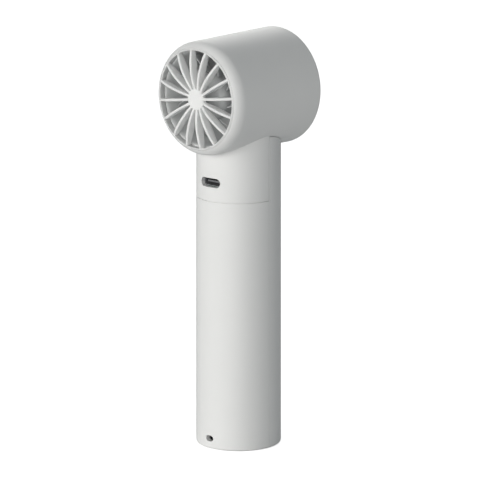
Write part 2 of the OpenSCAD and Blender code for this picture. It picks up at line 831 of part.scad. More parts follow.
head_shell();
rear_shell();
front_cover();
front_grille();
rear_grille();
air_duct();
motor_mount();
motor_core();
motor_windings();
motor_board();
front_bearing();
rear_bearing();
impeller();
rotor_cup();
rotor_magnet();
motor_shaft();
shaft_clip();
motor_leads();
control_board();
board_chips();
usb_socket();
usb_tongue();
switch_body();
switch_plunger();
power_button();
indicator_lamp();
light_guide();
battery_cell();
battery_tabs();
battery_pad();
battery_leads();
board_screws();
neck_screws();
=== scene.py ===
# %% [markdown]
# # A cordless handheld fan
#
# The fan is a round handle that stands on its base, with a short barrel lying across its top. The air
# comes in through a grille at the barrel's rear, passes an impeller and leaves through an arched grille
# in front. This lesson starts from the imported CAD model, which fixes every size and place, and makes
# the pieces that show again as clean meshes with rounded edges and moulded-plastic finishes.

# %% Load the frame
import json
from math import acos, asin, cos, degrees, pi, radians, sin, sqrt

import bmesh
import bpy
from mathutils import Matrix, Vector


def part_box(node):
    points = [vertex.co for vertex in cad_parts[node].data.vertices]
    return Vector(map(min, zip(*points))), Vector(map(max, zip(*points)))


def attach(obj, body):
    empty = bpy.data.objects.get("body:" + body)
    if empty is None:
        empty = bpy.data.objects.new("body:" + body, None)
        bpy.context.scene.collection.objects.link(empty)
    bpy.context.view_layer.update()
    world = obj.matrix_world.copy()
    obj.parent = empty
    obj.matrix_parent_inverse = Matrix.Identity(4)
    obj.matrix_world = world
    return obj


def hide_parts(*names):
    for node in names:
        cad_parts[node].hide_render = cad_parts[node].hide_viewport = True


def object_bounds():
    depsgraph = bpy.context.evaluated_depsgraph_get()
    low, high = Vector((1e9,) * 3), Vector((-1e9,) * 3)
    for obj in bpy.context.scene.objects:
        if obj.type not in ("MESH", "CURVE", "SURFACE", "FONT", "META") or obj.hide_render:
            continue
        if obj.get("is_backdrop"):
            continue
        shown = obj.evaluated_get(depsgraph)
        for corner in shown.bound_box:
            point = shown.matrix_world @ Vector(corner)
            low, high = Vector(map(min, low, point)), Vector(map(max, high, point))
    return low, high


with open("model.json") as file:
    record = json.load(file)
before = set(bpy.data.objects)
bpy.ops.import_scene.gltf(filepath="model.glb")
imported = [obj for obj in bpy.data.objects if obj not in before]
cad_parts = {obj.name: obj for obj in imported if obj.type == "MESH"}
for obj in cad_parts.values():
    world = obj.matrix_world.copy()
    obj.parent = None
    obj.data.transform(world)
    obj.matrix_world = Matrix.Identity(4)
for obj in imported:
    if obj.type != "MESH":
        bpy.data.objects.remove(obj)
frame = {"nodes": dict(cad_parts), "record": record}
cad_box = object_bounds()
nodes = frame["nodes"]

# %% [markdown]
# ## Sizes
#
# The outside sizes are read from the boxes of the CAD nodes, so the pieces land where the frame says.
# Walls, gaps and roundings can't be read from a box, so they are named here. Everything is in metres,
# and `mm` keeps the small numbers readable.

# %% Sizes
mm = 0.001
gap = 0.1 * mm
joint_gap = 0.35 * mm
split_gap = 0.2 * mm
seam_gap = 0.1 * mm
wall = 1.8 * mm
edge, split_edge = 0.22 * mm, 0.08 * mm
over = 1.0 * mm

head_low, head_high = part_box("head_shell")
cover_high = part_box("front_cover")[1]
rear_r = head_high.x
axis_h = head_high.z - rear_r
nose_round, tail_round = 5.4 * mm, 1.2 * mm
duct_low, duct_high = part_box("air_duct")
liner_r = duct_high.x
bore_r = liner_r + gap
front_r = bore_r + wall
mouth_r = bore_r - 0.55 * mm
# The opening cuts into the rounded nose, so the nose's own plane lies a little ahead of the box.
nose_y = head_low.y - nose_round + sqrt(nose_round ** 2 - (mouth_r - front_r + nose_round) ** 2)
tail_y = head_high.y
barrel_len = tail_y - nose_y
duct_r = liner_r - 1.9 * mm
base_r, cover_h = cover_high.x, cover_high.z
neck_z = cover_h + split_gap
rear_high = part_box("rear_shell")[1]
handle_r = base_r - 0.25 * mm
inner_r = handle_r - wall
floor_t = 2.0 * mm
cell_low, cell_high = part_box("battery_cell")
board_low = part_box("control_board")[0]
mount_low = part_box("motor_mount")[0]
print(f"barrel: {2 * front_r / mm:.1f} to {2 * rear_r / mm:.1f} mm across, {barrel_len / mm:.0f} mm long")
print(f"handle: {2 * base_r / mm:.1f} mm across at its base, axis of the barrel {axis_h / mm:.2f} mm up")

# %% [markdown]
# ## Helpers for turned pieces
#
# Nearly every piece of the fan is round, so most start as an outline that is spun about an axis. The
# outline is a closed loop of (radius, distance along the axis) points, with its round stretches made by
# `arc`. Spinning a face by less than a full turn leaves a closed solid with two flat ends, which is just
# what a half shell of a handle is.

# %% Arc and lathe
def arc(centre, radius, first, last, steps=8):
    """Points of an arc in an outline, with its angles in degrees."""
    turns = [radians(first + (last - first) * i / steps) for i in range(steps + 1)]
    return [(centre[0] + radius * cos(t), centre[1] + radius * sin(t)) for t in turns]


def lathe(outline, axis="Y", steps=160, first=0.0, sweep=360.0):
    """A closed solid: the outline spun about the Y or the Z axis through the origin."""
    bm = bmesh.new()
    along = Vector((0, 1, 0)) if axis == "Y" else Vector((0, 0, 1))
    loop = [bm.verts.new((r, h, 0) if axis == "Y" else (r, 0, h)) for r, h in outline]
    rim = bm.faces.new(loop)
    bmesh.ops.rotate(bm, verts=loop, cent=(0, 0, 0), matrix=Matrix.Rotation(radians(first), 3, along))
    geometry = list(rim.edges) + loop
    whole = sweep >= 360
    if whole:
        bmesh.ops.delete(bm, geom=[rim], context="FACES_ONLY")
    else:
        geometry.append(rim)
    bmesh.ops.spin(
        bm, geom=geometry, cent=(0, 0, 0), axis=along, angle=radians(sweep),
        steps=steps, use_merge=whole)
    bmesh.ops.remove_doubles(bm, verts=bm.verts, dist=1e-7)
    bmesh.ops.recalc_face_normals(bm, faces=bm.faces)
    return bm


def to_piece(name, bm, place=(0, 0, 0)):
    """Turns a bmesh into an object at the origin, with its place in its mesh."""
    bmesh.ops.translate(bm, verts=bm.verts, vec=place)
    mesh = bpy.data.meshes.new(name)
    bm.to_mesh(mesh)
    bm.free()
    piece = bpy.data.objects.new(name, mesh)
    bpy.context.scene.collection.objects.link(piece)
    return piece


def open_edges(piece):
    """How many edges of a piece don't have exactly two faces."""
    bm = bmesh.new()
    bm.from_mesh(piece.data)
    count = sum(not e.is_manifold for e in bm.edges)
    bm.free()
    return count


on_barrel = (0, 0, axis_h)
print("lathe and arc are ready")

# %% [markdown]
# ## Helpers for cutting and rounding
#
# Slots, holes and the join of neck and barrel are booleans of closed solids. The modifier is applied at
# once, so that the edges it makes can be picked and rounded with the bevel operator. A moulded part has
# no knife edges: a rounding of a fifth of a millimetre is enough to catch the light.

# %% Cut, join and round
def combine(piece, other, operation):
    """Joins, cuts or intersects a piece with another one, which is used up."""
    boolean = piece.modifiers.new("combine", "BOOLEAN")
    boolean.operation, boolean.solver, boolean.object = operation, "EXACT", other
    shape = piece.evaluated_get(bpy.context.evaluated_depsgraph_get())
    mesh = bpy.data.meshes.new_from_object(shape)
    piece.modifiers.clear()
    piece.data = mesh
    bpy.data.objects.remove(other)
    bm = bmesh.new()
    bm.from_mesh(mesh)
    bmesh.ops.remove_doubles(bm, verts=bm.verts, dist=1e-6)
    bmesh.ops.dissolve_degenerate(bm, edges=bm.edges, dist=1e-6)
    bm.to_mesh(mesh)
    bm.free()
    return piece


def join(piece, other):
    return combine(piece, other, "UNION")


def cut(piece, other):
    return combine(piece, other, "DIFFERENCE")


def trim(piece, other):
    """Keeps only what lies inside the other piece."""
    return combine(piece, other, "INTERSECT")


def round_off(bm, edges, width, segments):
    bmesh.ops.bevel(
        bm, geom=edges, offset=width, offset_type="OFFSET", segments=segments,
        profile=0.5, affect="EDGES", material=-1, clamp_overlap=True)


def soften(piece, pick, width=edge, segments=3, sharpest=30):
    """Rounds the sharp edges of a piece whose midpoint passes the test."""
    bm = bmesh.new()
    bm.from_mesh(piece.data)
    edges = []
    for e in bm.edges:
        middle = (e.verts[0].co + e.verts[1].co) / 2
        sharp = e.is_manifold and e.calc_face_angle(0) > radians(sharpest)
        if sharp and pick(middle):
            edges.append(e)
    round_off(bm, edges, width, segments)
    bm.to_mesh(piece.data)
    bm.free()
    return len(edges)


def smooth(piece, angle=32):
    """Shades a piece smooth, with a crease wherever two faces meet more sharply than the angle."""
    piece.data.shade_smooth()
    piece.data.set_sharp_from_angle(angle=radians(angle))
    normals = piece.modifiers.new("normals", "WEIGHTED_NORMAL")
    normals.keep_sharp, normals.weight = True, 80


def bar(name, radius, length, start, axis="Y", steps=64):
    """A round bar from a point, along +Y or +Z: the cutter for holes."""
    bm = bmesh.new()
    bmesh.ops.create_cone(
        bm, cap_ends=True, segments=steps, radius1=radius, radius2=radius, depth=length)
    bmesh.ops.translate(bm, verts=bm.verts, vec=(0, 0, length / 2))
    if axis == "Y":
        bmesh.ops.rotate(bm, verts=bm.verts, cent=(0, 0, 0), matrix=Matrix.Rotation(radians(-90), 3, "X"))
    return to_piece(name, bm, start)


def prism(points, along):
    """A closed solid: a flat outline pushed along a vector."""
    bm = bmesh.new()
    face = bm.faces.new([bm.verts.new(point) for point in points])
    made = bmesh.ops.extrude_face_region(bm, geom=[face])
    moved = [v for v in made["geom"] if isinstance(v, bmesh.types.BMVert)]
    bmesh.ops.translate(bm, verts=moved, vec=along)
    bmesh.ops.recalc_face_normals(bm, faces=bm.faces)
    return bm


def stadium(name, width, height, start, end, z, steps=12):
    """A bar with a stadium-shaped section, from y = start to y = end."""
    straight = (width - height) / 2
    right = arc((straight, z), height / 2, -90, 90, steps)
    left = arc((-straight, z), height / 2, 90, 270, steps)
    return to_piece(name, prism([(x, start, h) for x, h in right + left], (0, end - start, 0)))


print("join, cut, trim, soften, smooth, bar, prism and stadium are ready")

# %% [markdown]
# ## Barrel and neck
#
# One moulding: a slightly conical barrel, well rounded in front, with the front half of the neck under
# it. The barrel is a full spin and the neck a half spin. They are joined with a crisp line between
# them, as on the real fan, and the slot for the charging socket is cut through the neck afterwards.

# %% Head shell
def barrel_outline(grow=0.0):
    """The barrel's outside as a closed outline, from the axis out, with y from nose to tail."""
    front, rear = front_r + grow, rear_r + grow
    return (
        [(0, nose_y)]
        + arc((front - nose_round, nose_y + nose_round), nose_round, -90, 0, 14)
        + arc((rear - tail_round, tail_y - tail_round), tail_round, 0, 90, 6)
        + [(0, tail_y)]
    )


grille_low, grille_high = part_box("front_grille")
flange_y = grille_high.y - 0.8 * mm
lip_round = 0.06 * mm


def barrel_wall():
    """The barrel as a tube: its outside, its rear rim, its bore and the lip at its mouth."""
    outside = barrel_outline()[1:-1]
    nose_centre = front_r - nose_round
    outside = [p for p in outside if not (p[1] < nose_y + nose_round and p[0] < mouth_r + lip_round)]
    lip_y = nose_y + nose_round - sqrt(nose_round ** 2 - (mouth_r - nose_centre) ** 2)
    inside = (
        arc((bore_r + tail_round * 0.4, tail_y - tail_round * 0.4), tail_round * 0.4, 90, 180, 4)
        + [(bore_r, flange_y), (mouth_r, flange_y)]
        + arc((mouth_r + lip_round, lip_y + 2 * lip_round), lip_round, 180, 250, 4)
    )
    return lathe(outside + inside, steps=192)


def neck_half():
    """The front half of the neck, from its lower edge up into the barrel."""
    outline = (
        arc((inner_r + split_edge, neck_z + split_edge), split_edge, 180, 270, 2)
        + arc((handle_r - split_edge, neck_z + split_edge), split_edge, -90, 0, 2)
        + [(handle_r, axis_h - front_r), (handle_r, axis_h), (inner_r, axis_h)]
    )
    return lathe(outline, axis="Z", steps=96, first=180, sweep=180)


head_shell = to_piece("barrel_and_neck", barrel_wall(), on_barrel)
neck = to_piece("neck", neck_half(), (0, -seam_gap / 2, 0))
core = bar("core", bore_r + wall / 2, 2 * barrel_len, (0, 2 * nose_y, axis_h), steps=192)
cut(neck, core)
join(head_shell, neck)
print("head shell:", len(head_shell.data.polygons), "faces,", open_edges(head_shell), "open edges")

# %% [markdown]
# The slot's place comes from the socket's own box, with a clearance all round. Its outer edge is
# rounded after the cut. The two upright edges of the neck, along the seam, are rounded too.

# %% Socket slot
socket_low, socket_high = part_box("usb_socket")
socket_z = (socket_low.z + socket_high.z) / 2
socket_w, socket_h = socket_high.x - socket_low.x, socket_high.z - socket_low.z
side_gap, slot_gap = 0.28 * mm, 0.15 * mm
slot_w, slot_h = socket_w + 2 * side_gap, socket_h + 2 * slot_gap
cut(head_shell, stadium("slot", slot_w, slot_h, -2 * handle_r, 0, socket_z))


def near_slot(point):
    return (
        abs(point.x) < slot_w / 2 + gap and abs(point.z - socket_z) < slot_h / 2 + gap
        and point.y < 0 and Vector((point.x, point.y)).length > handle_r - gap
    )


def on_seam(point):
    return abs(point.y + seam_gap / 2) < 0.01 * mm and neck_z + split_edge < point.z < axis_h - front_r


rounded = soften(head_shell, near_slot, 0.3 * mm, 4)
rounded += soften(head_shell, on_seam, 0.05 * mm, 1)
print("head shell:", rounded, "edges rounded,", open_edges(head_shell), "open edges")

# %% [markdown]
# Inside the neck a lug hangs down behind the front cover's top edge. Two screws go through it into bosses
# on the rear shell. A slit in the barrel's wall lets the motor leads down into the neck.

# %% Lug and lead hole
lug_w, lug_t, lug_drop, shelf_t = 17.4 * mm, 1.8 * mm, 11.0 * mm, 1.5 * mm
boss_x, boss_r = 5.4 * mm, 2.3 * mm
boss_z = neck_z - 7.4 * mm
screw_r, screw_gap = 1.0 * mm, 0.15 * mm
head_r, head_depth, lug_room = 1.9 * mm, 1.3 * mm, 0.4 * mm
lug_y = head_depth - sqrt((inner_r - lug_room) ** 2 - (boss_x + head_r) ** 2)
lug_z = neck_z - lug_drop


def block(low, high):
    """A box between two corners, as a bmesh."""
    bm = bmesh.new()
    bmesh.ops.create_cube(bm, size=1)
    bmesh.ops.scale(bm, verts=bm.verts, vec=Vector(high) - Vector(low))
    bmesh.ops.translate(bm, verts=bm.verts, vec=(Vector(high) + Vector(low)) / 2)
    return bm


lug = to_piece("lug", block((-lug_w / 2, lug_y, lug_z), (lug_w / 2, lug_y + lug_t, neck_z + shelf_t)))
shelf = to_piece("shelf", block(
    (-lug_w / 2, -inner_r - wall / 2, neck_z), (lug_w / 2, lug_y + lug_t, neck_z + shelf_t)))
trim(shelf, bar("neck_inside", inner_r + wall / 2, shelf_t + over, (0, 0, neck_z), "Z", 96))
trim(lug, bar("cover_inside", inner_r - 0.2 * mm, 2 * lug_drop, (0, 0, lug_z), "Z", 96))
join(lug, shelf)
for x in (-boss_x, boss_x):
    cut(lug, bar("screw_hole", screw_r + screw_gap, 4 * lug_t, (x, lug_y - lug_t, boss_z), steps=32))
join(head_shell, lug)
drop_y = mount_low.y + 5 * mm
slit_x, slit_y = 2.2 * mm, 0.9 * mm
slit = block(
    (-slit_x, drop_y - slit_y, axis_h - rear_r - over), (slit_x, drop_y + slit_y, axis_h - duct_r))
cut(head_shell, to_piece("lead_hole", slit))
print("head shell with its lug:", open_edges(head_shell), "open edges")

# %% [markdown]
# ## Handle shells
#
# Below the neck the handle is two half shells. The front cover stops at the neck and the rear shell runs
# up to the barrel, where it is cut to the barrel's shape with a small gap. Both are half spins of the same
# kind of outline, with a rounded foot. A low tongue on the top edge hides the inside of the split.

# %% Front cover and rear shell
foot_round, tongue_in = 1.1 * mm, 0.45 * mm


def handle_outline(top_z, top_r):
    """Half of the handle's section: foot, outside, top edge with its tongue, inside and floor."""
    tongue_z = top_z + 0.8 * split_gap
    return (
        [(0, 0)]
        + arc((base_r - foot_round, foot_round), foot_round, -90, 0, 7)
        + arc((top_r - split_edge, top_z - split_edge), split_edge, 0, 90, 2)
        + [(top_r - tongue_in, top_z), (top_r - tongue_in, tongue_z),
           (inner_r + tongue_in, tongue_z), (inner_r + tongue_in, top_z)]
        + arc((inner_r + split_edge, top_z - split_edge), split_edge, 90, 180, 2)
        + [(inner_r, floor_t), (0, floor_t)]
    )


def radius_at(z):
    """The handle's outer radius at a height: a slight cone."""
    return base_r + (handle_r - base_r) * z / axis_h


front_cover = to_piece(
    "front_cover_shell",
    lathe(handle_outline(cover_h, radius_at(cover_h)), axis="Z", steps=96, first=180, sweep=180),
    (0, -seam_gap / 2, 0))
rear_shell = to_piece(
    "rear_handle_shell",
    lathe(handle_outline(rear_high.z + over, radius_at(rear_high.z)), axis="Z", steps=96, first=0, sweep=180),
    (0, seam_gap / 2, 0))
barrel_form = to_piece("barrel_form", lathe(barrel_outline(joint_gap), steps=192), on_barrel)
cut(rear_shell, barrel_form)
print("front cover:", open_edges(front_cover), "open edges; rear shell:", open_edges(rear_shell))

# %% [markdown]
# Ribs inside both shells hold the cell. The rear shell also has two posts for the control board and two
# bosses for the screws that come through the lug.

# %% Ribs, posts and bosses
seat_t, seat_w, cell_r = 1.6 * mm, 17.0 * mm, cell_high.x
cell_len, rib_inset, foot_in = 65 * mm, 12 * mm, 2.6 * mm
seat_r = cell_r + 0.15 * mm


def cell_rib(name, z, radius, side):
    """A rib across one half of the handle, with a round seat for the cell."""
    rib = bar(name, inner_r + wall / 2, seat_t, (0, 0, z), "Z", 96)
    cut(rib, bar("seat", radius, 4 * seat_t, (0, 0, z - seat_t), "Z", 96))
    near, far = sorted((side * (over + seam_gap / 2), side * handle_r))
    half = block((-seat_w / 2, near, z - over), (seat_w / 2, far, z + 2 * over + seat_t))
    return trim(rib, to_piece("half", half))


for z in (cell_low.z + rib_inset, cell_low.z + cell_len - rib_inset):
    join(rear_shell, cell_rib("rear_rib_seat", z, seat_r, 1))
    join(front_cover, cell_rib("front_rib_seat", z + seat_t + 2 * mm, seat_r, -1))
join(rear_shell, cell_rib("cell_foot", cell_low.z - seat_t, cell_r - foot_in, 1))
post_r, post_hole_r = 2.2 * mm, 0.9 * mm
post_at, post_h = inner_r - 1.95 * mm, 8 * mm
for turn in (36, 144):
    x, y = post_at * cos(radians(turn)), post_at * sin(radians(turn))
    foot = board_low.z - post_h
    join(rear_shell, bar("post", post_r, post_h, (x, y, foot), "Z", 48))
    cut(rear_shell, bar("post_hole", post_hole_r, post_h, (x, y, foot + over), "Z", 32))
boss_y = lug_y + lug_t
boss_len = sqrt(handle_r ** 2 - (boss_x + boss_r) ** 2) - gap - boss_y
for x in (-boss_x, boss_x):
    join(rear_shell, bar("boss", boss_r, boss_len, (x, boss_y, boss_z), steps=48))
    cut(rear_shell, bar("boss_hole", screw_r, 8 * mm, (x, boss_y - over, boss_z), steps=32))
print("ribs and bosses:", open_edges(rear_shell), open_edges(front_cover), "open edges")

# %% [markdown]
# The front cover has a lanyard hole low down, and a second one in its floor. The rear shell has a round
# opening for the button and a small one for the lamp's light guide.

# %% Holes in the handle
lanyard_w, lanyard_h, lanyard_z = 3.6 * mm, 2.2 * mm, 4.1 * mm
floor_hole_r = 1.4 * mm
floor_hole_y = -inner_r + floor_hole_r + over
cord_hole = stadium("cord_hole", lanyard_w, lanyard_h, -base_r - over, -inner_r + over, lanyard_z)
floor_hole = bar("floor_hole", floor_hole_r, 4 * mm, (0, floor_hole_y, -over), "Z", 48)
cut(front_cover, cord_hole)
cut(front_cover, floor_hole)

button_low, button_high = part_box("power_button")
button_z = (button_low.z + button_high.z) / 2
button_r = 4.5 * mm
guide_low, guide_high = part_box("light_guide")
guide_r = guide_high.x
guide_z = guide_low.z + guide_r
cut(rear_shell, bar("button_hole", button_r + 2 * gap, 20 * mm, (0, 0, button_z), steps=96))
cut(rear_shell, bar("lamp_hole", guide_r + gap / 2, 20 * mm, (0, 0, guide_z), steps=48))


def outer_rim(z, width, height):
    """A test for the edge that a round or oblong hole along Y leaves on the handle's outside."""
    def test(point):
        beyond = max(abs(point.x) - (width - height) / 2, 0)
        off = Vector((beyond, point.z - z)).length
        return abs(off - height / 2) < 0.06 * mm and Vector((point.x, point.y)).length > inner_r + over
    return test


def floor_rim(point):
    off = Vector((point.x, point.y - floor_hole_y)).length
    return point.z < 0.01 * mm and abs(off - floor_hole_r) < 0.06 * mm


button_hole, lamp_hole = 2 * button_r + 4 * gap, 2 * guide_r + gap
soften(front_cover, outer_rim(lanyard_z, lanyard_w, lanyard_h), 0.25 * mm, 3)
soften(front_cover, floor_rim, 0.2 * mm)
soften(rear_shell, outer_rim(button_z, button_hole, button_hole), 0.25 * mm, 3)
soften(rear_shell, outer_rim(guide_z, lamp_hole, lamp_hole), 0.12 * mm, 2)
print("holes: front cover", open_edges(front_cover), "open edges, rear shell", open_edges(rear_shell))

# %% [markdown]
# ## Front grille
#
# A ring, sixteen ribs and a small round plate. Each rib is a thin plate on edge: its front edge is an arc
# that bulges forward, and its rear edge bulges the other way, so that the rib is deepest two thirds of the
# way out. One rib is made flat, given its thickness, softened, and then copied round by a spin.

# %% Grille rib
grille_rib_n, rib_phase = 16, 7.5
rib_t, rib_arch = 1.0 * mm, 1.2 * mm
hub_plate_r = 4.0 * mm
ring_front = grille_low.y + rib_arch
outlet_r = mouth_r - 0.75 * mm
rib_depth_hub, rib_depth_mid, rib_depth_ring = 1.3 * mm, 0.7 * mm, 2.1 * mm


def sagitta(first, last, height, steps):
    """Points on a circular arc between two points, bulging by a height to the left of the way it runs."""
    (x0, y0), (x1, y1) = first, last
    run = sqrt((x1 - x0) ** 2 + (y1 - y0) ** 2)
    radius = run ** 2 / (8 * abs(height)) + abs(height) / 2
    half = asin(run / 2 / radius)
    along, across = ((x1 - x0) / run, (y1 - y0) / run), (-(y1 - y0) / run, (x1 - x0) / run)
    side = 1 if height > 0 else -1
    points = []
    for i in range(steps + 1):
        t = -half + 2 * half * i / steps
        s, c = radius * sin(t) + run / 2, radius * (cos(t) - cos(half)) * side
        points.append((x0 + along[0] * s + across[0] * c, y0 + along[1] * s + across[1] * c))
    return points


def flat_plate(outline, thickness):
    """A plate in the XY plane, as thick along Z as asked, centred on z = 0."""
    return prism([(x, y, -thickness / 2) for x, y in outline], (0, 0, thickness))


def copies_round(bm, count, phase):
    """Repeats a shape about the Y axis, starting at an angle above +X."""
    bmesh.ops.rotate(bm, verts=bm.verts, cent=(0, 0, 0), matrix=Matrix.Rotation(radians(-phase), 3, "Y"))
    bmesh.ops.spin(
        bm, geom=bm.verts[:] + bm.edges[:] + bm.faces[:], cent=(0, 0, 0), axis=(0, 1, 0),
        angle=2 * pi * (count - 1) / count, steps=count - 1, use_duplicate=True)
    return bm


def rib_outline():
    root, tip = hub_plate_r - 0.5 * mm, outlet_r + 0.3 * mm
    front = sagitta((root, ring_front), (tip, ring_front + 0.15 * mm), -rib_arch, 20)
    back = sagitta((tip, ring_front + rib_depth_ring), (root, ring_front + rib_depth_hub), -rib_depth_mid, 12)
    return front + back


def long_edges(bm, width, segments):
    """Softens the edges between a plate's rim and its two flat sides."""
    edges = [e for e in bm.edges if abs(e.verts[0].co.z - e.verts[1].co.z) < 1e-7]
    round_off(bm, edges, width, segments)
    return bm


ribs = long_edges(flat_plate(rib_outline(), rib_t), 0.32 * mm, 4)
grille_ribs = to_piece("grille_ribs", copies_round(ribs, grille_rib_n, rib_phase), on_barrel)
print("grille ribs:", grille_rib_n, "with", open_edges(grille_ribs), "open edges")

# %% [markdown]
# The ring carries a flange that sits behind the barrel's lip. Its face goes on with the nose's rounding,
# and the plate in the middle has a soft edge. Ribs, ring and plate are joined into one solid, as they are
# one moulding.

# %% Grille ring and plate
ring_r = mouth_r - 0.05 * mm
ring_rear = grille_high.y
ring_edge = 0.15 * mm
nose_centre = (front_r - nose_round, nose_y + nose_round)


def nose_turn(radius):
    """The angle on the nose's rounding, in degrees, at a distance from the axis."""
    return -degrees(acos((radius - nose_centre[0]) / nose_round))


ring_face = arc(nose_centre, nose_round, nose_turn(outlet_r + ring_edge), nose_turn(ring_r), 4)
ring = lathe(
    ring_face
    + [(ring_r, flange_y + gap), (liner_r, flange_y + gap), (liner_r, ring_rear), (outlet_r, ring_rear)]
    + arc((outlet_r + ring_edge, ring_face[0][1] + ring_edge), ring_edge, 180, 260, 3),
    steps=192)
plate_edge, plate_front, plate_back = 0.35 * mm, ring_front - 0.02 * mm, ring_front + 1.5 * mm
plate = lathe(
    [(0, plate_front)]
    + arc((hub_plate_r - plate_edge, plate_front + plate_edge), plate_edge, -90, 0, 4)
    + [(hub_plate_r, plate_back), (0, plate_back)],
    steps=64)
front_grille = to_piece("outlet_grille", ring, on_barrel)
join(front_grille, grille_ribs)
join(front_grille, to_piece("plate", plate, on_barrel))
print("front grille:", len(front_grille.data.polygons), "faces,", open_edges(front_grille), "open edges")

# %% [markdown]
# ## Air duct and impeller
#
# Behind the grille the duct narrows the bore with a small bell mouth. The impeller is a round-nosed hub
# with nine curved blades. A blade's sections are bent strips, twisted a little from the hub to the tip,
# and the skin between them is made by bridging the loops. The tips are trimmed to a circle inside the duct.

# %% Duct
mouth_flare, mouth_depth = 0.7 * mm, 2.6 * mm
bell = [(duct_r + mouth_flare * (1 - sin(radians(t))), duct_low.y + mouth_depth * (1 - cos(radians(t))))
        for t in range(90, -1, -10)]
air_duct = to_piece("duct_liner", lathe(
    bell + [(liner_r, duct_low.y), (liner_r, duct_high.y), (duct_r, duct_high.y)], steps=160), on_barrel)
print("duct:", open_edges(air_duct), "open edges")

# %% Impeller
impeller_low, impeller_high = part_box("impeller")
tip_r = duct_r - 0.6 * mm
hub_r, hub_wall, hub_round = 8.6 * mm, 0.8 * mm, 3.0 * mm
cup_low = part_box("rotor_cup")[0]
blade_n, blade_phase = 9, 10
blade_front = impeller_low.y + 1.2 * mm
blade_rear = impeller_high.y - 3.4 * mm
blade_t = 0.9 * mm


def strip_section(chord, bend_r, thickness, pitch, steps=10):
    """A bent strip with rounded ends, turned by the blade's pitch, as (tangential, axial) points."""
    half = asin(chord / 2 / bend_r)
    turns = [-half + 2 * half * i / steps for i in range(steps + 1)]
    outer, inner = [], []
    for i, t in enumerate(turns):
        taper = 1 - 0.55 * abs(2 * i / steps - 1) ** 3
        half_t = thickness / 2 * taper
        for radius, side in ((bend_r + half_t, outer), (bend_r - half_t, inner)):
            side.append((radius * cos(t) - bend_r * cos(half), radius * sin(t)))
    points = outer + inner[::-1]
    a = radians(pitch)
    return [(x * cos(a) - y * sin(a), x * sin(a) + y * cos(a)) for x, y in points]


def blade():
    """One blade along +X, as a skin bridged between sections."""
    bm = bmesh.new()
    loops = []
    stations = 7
    for i in range(stations):
        share = i / (stations - 1)
        radius = hub_r - hub_wall / 2 + (tip_r + 0.8 * mm - hub_r) * share
        pitch = 45 - 6 * share
        chord = (blade_rear - blade_front) / cos(radians(pitch)) * 0.97
        middle = (blade_front + blade_rear) / 2
        section = strip_section(chord, 11 * mm, blade_t, pitch)
        verts = [bm.verts.new((radius, middle + y, -x)) for x, y in section]
        loops.append([bm.edges.new((verts[k - 1], verts[k])) for k in range(len(verts))])
    for first, second in zip(loops, loops[1:]):
        bmesh.ops.bridge_loops(bm, edges=first + second)
    bmesh.ops.holes_fill(bm, edges=bm.edges, sides=0)
    bmesh.ops.recalc_face_normals(bm, faces=bm.faces)
    return bm


hub = lathe(
    [(0, impeller_low.y)]
    + arc((hub_r - hub_round, impeller_low.y + hub_round), hub_round, -90, 0, 10)
    + [(hub_r, impeller_high.y), (hub_r - hub_wall, impeller_high.y),
       (hub_r - hub_wall, cup_low.y), (0, cup_low.y)],
    steps=96)
blades = to_piece("blades", copies_round(blade(), blade_n, blade_phase), on_barrel)
trim(blades, bar("tip_circle", tip_r, barrel_len, (0, nose_y, axis_h), steps=160))
impeller = to_piece("impeller_moulding", hub, on_barrel)
join(impeller, blades)
print("impeller:", len(impeller.data.polygons), "faces,", open_edges(impeller), "open edges")

# %% [markdown]
# ## Rear grille
#
# The air comes in here. A flat cap with straight ribs, a middle ring and a slightly dished round plate
# sits a little inside the barrel's rear edge.

# %% Rear grille
rear_grille_low, rear_grille_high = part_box("rear_grille")
cap_rear, cap_front = rear_grille_high.y, rear_grille_low.y
rear_rib_n = 24
rear_plate_r = 7.0 * mm
rear_ring_w = 1.2 * mm
rear_ring_r = liner_r - rear_ring_w
rear_mid_r = (rear_ring_r + rear_plate_r - rear_ring_w) / 2
rib_front, mid_front, plate_inner = cap_rear - 1.6 * mm, cap_rear - 1.8 * mm, cap_rear - 2.0 * mm
rib_in, rib_out = rear_plate_r - 0.5 * mm, rear_ring_r + 0.5 * mm
cap_edge, dish = 0.25 * mm, 0.35 * mm


def soft_ring(outer, inner, front, rear, soft):
    """A ring whose two rear edges are rounded."""
    return lathe(
        [(inner, front), (outer, front)]
        + arc((outer - soft, rear - soft), soft, 0, 90, 3)
        + arc((inner + soft, rear - soft), soft, 90, 180, 3),
        steps=160)


rear_rib = flat_plate(
    [(rib_in, rib_front), (rib_out, rib_front), (rib_out, cap_rear), (rib_in, cap_rear)], 1.0 * mm)
rear_ribs = to_piece("rear_ribs", copies_round(long_edges(rear_rib, 0.2 * mm, 2), rear_rib_n, 0), on_barrel)
rear_ring = soft_ring(liner_r, rear_ring_r, cap_front, cap_rear, cap_edge)
rear_grille = to_piece("intake_grille", rear_ring, on_barrel)
join(rear_grille, rear_ribs)
mid_ring = soft_ring(rear_mid_r + rear_ring_w, rear_mid_r, mid_front, cap_rear, cap_edge)
join(rear_grille, to_piece("mid_ring", mid_ring, on_barrel))
rear_plate = lathe(
    [(0, plate_inner), (rear_plate_r, plate_inner)]
    + arc((rear_plate_r - cap_edge, cap_rear - cap_edge), cap_edge, 0, 90, 4)
    + [(rear_plate_r * 0.8, cap_rear), (0, cap_rear - dish)], steps=96)
join(rear_grille, to_piece("rear_plate", rear_plate, on_barrel))
print("rear grille:", len(rear_grille.data.polygons), "faces,", open_edges(rear_grille), "open edges")

# %% [markdown]
# ## Button, light guide and socket
#
# The button is a round pad whose face follows the curve of the handle, on a flange that keeps it from
# falling out. The socket is a drawn steel shell with a thin tongue inside it that carries the contacts.

